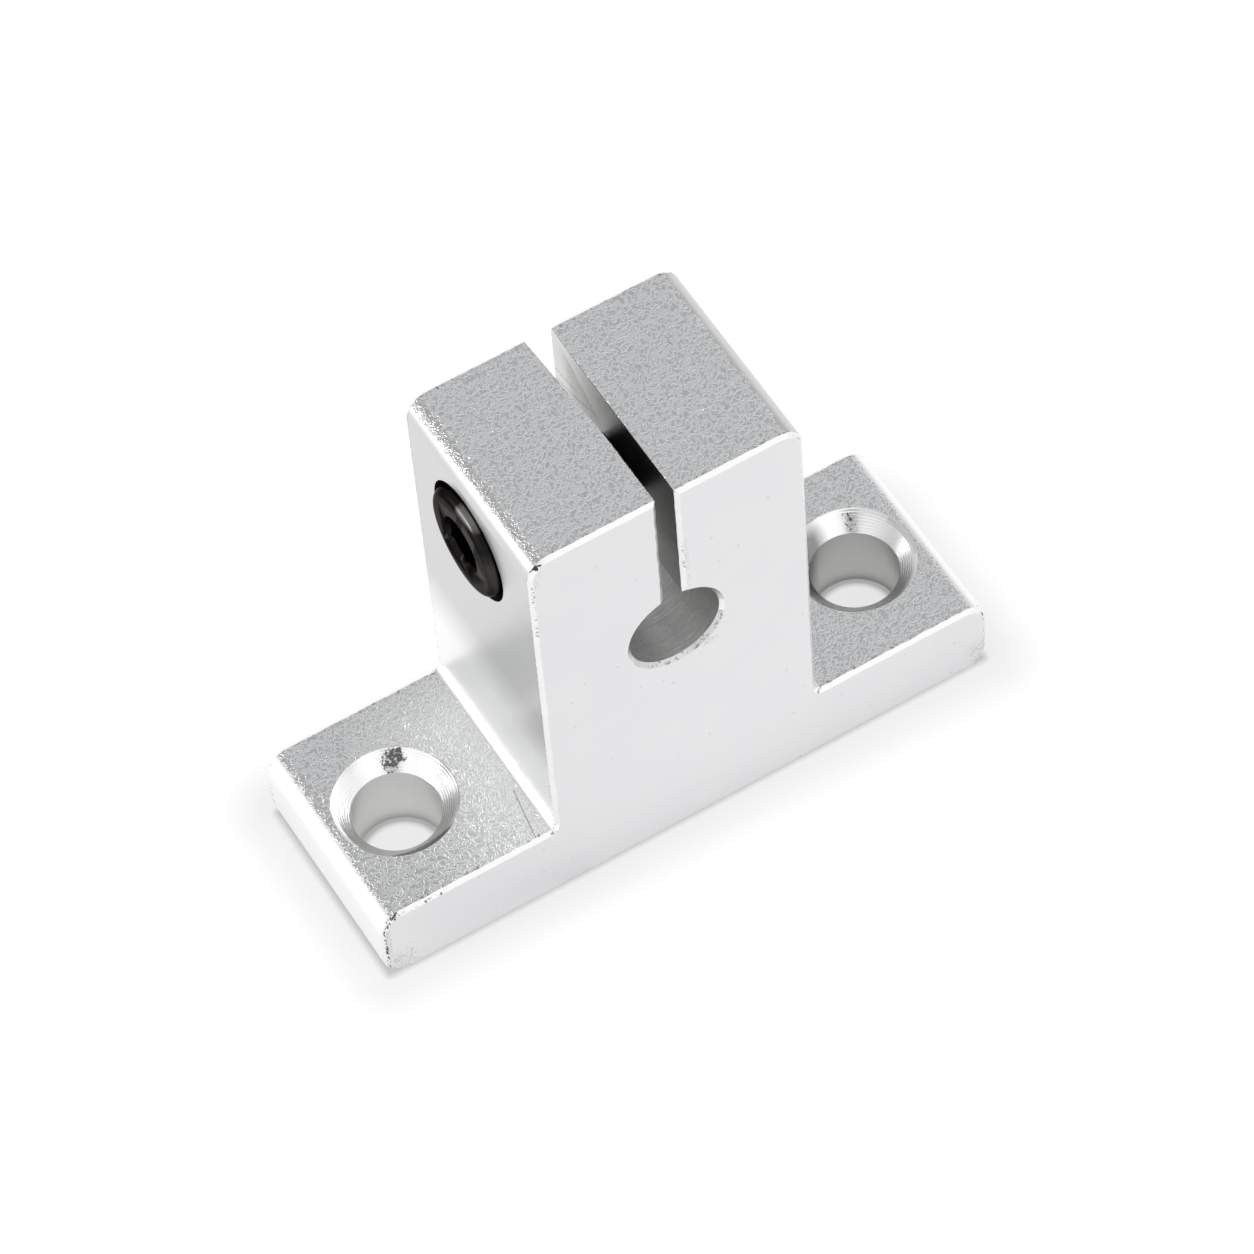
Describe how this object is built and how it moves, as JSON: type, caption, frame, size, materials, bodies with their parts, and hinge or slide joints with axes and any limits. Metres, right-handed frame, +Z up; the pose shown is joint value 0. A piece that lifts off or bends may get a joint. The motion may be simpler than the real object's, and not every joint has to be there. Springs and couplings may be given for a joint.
{
  "type": "shaft support block",
  "caption": "Inverted-T aluminium block with a split bore that a cross screw clamps on a 6 mm linear shaft, and countersunk mounting holes in its base feet.",
  "frame": {"origin": "middle of the underside of the base, on the mounting surface", "axes": "+X along the base, from the screw's head to the tapped jaw; +Y along the shaft, from the front saw cut to the back one; +Z up, from the base to the top of the tower"},
  "size_m": [0.042, 0.014, 0.0328],
  "materials": {
    "block_aluminium": "blasted and clear anodised extrusion, sawn and deburred ends",
    "screw_black_oxide": "black oxide alloy steel, satin"
  },
  "bodies": {
    "block": {"support_block": "block_aluminium"},
    "screw": {"clamp_screw": "screw_black_oxide"}
  },
  "joints": [
    {"name": "clamp_screw_turn", "type": "hinge", "parent": "block", "child": "screw", "pos_m": [0, 0.0004, 0.0268], "axis": [-1, 0, 0], "range_deg": [0, 270]}
  ]
}
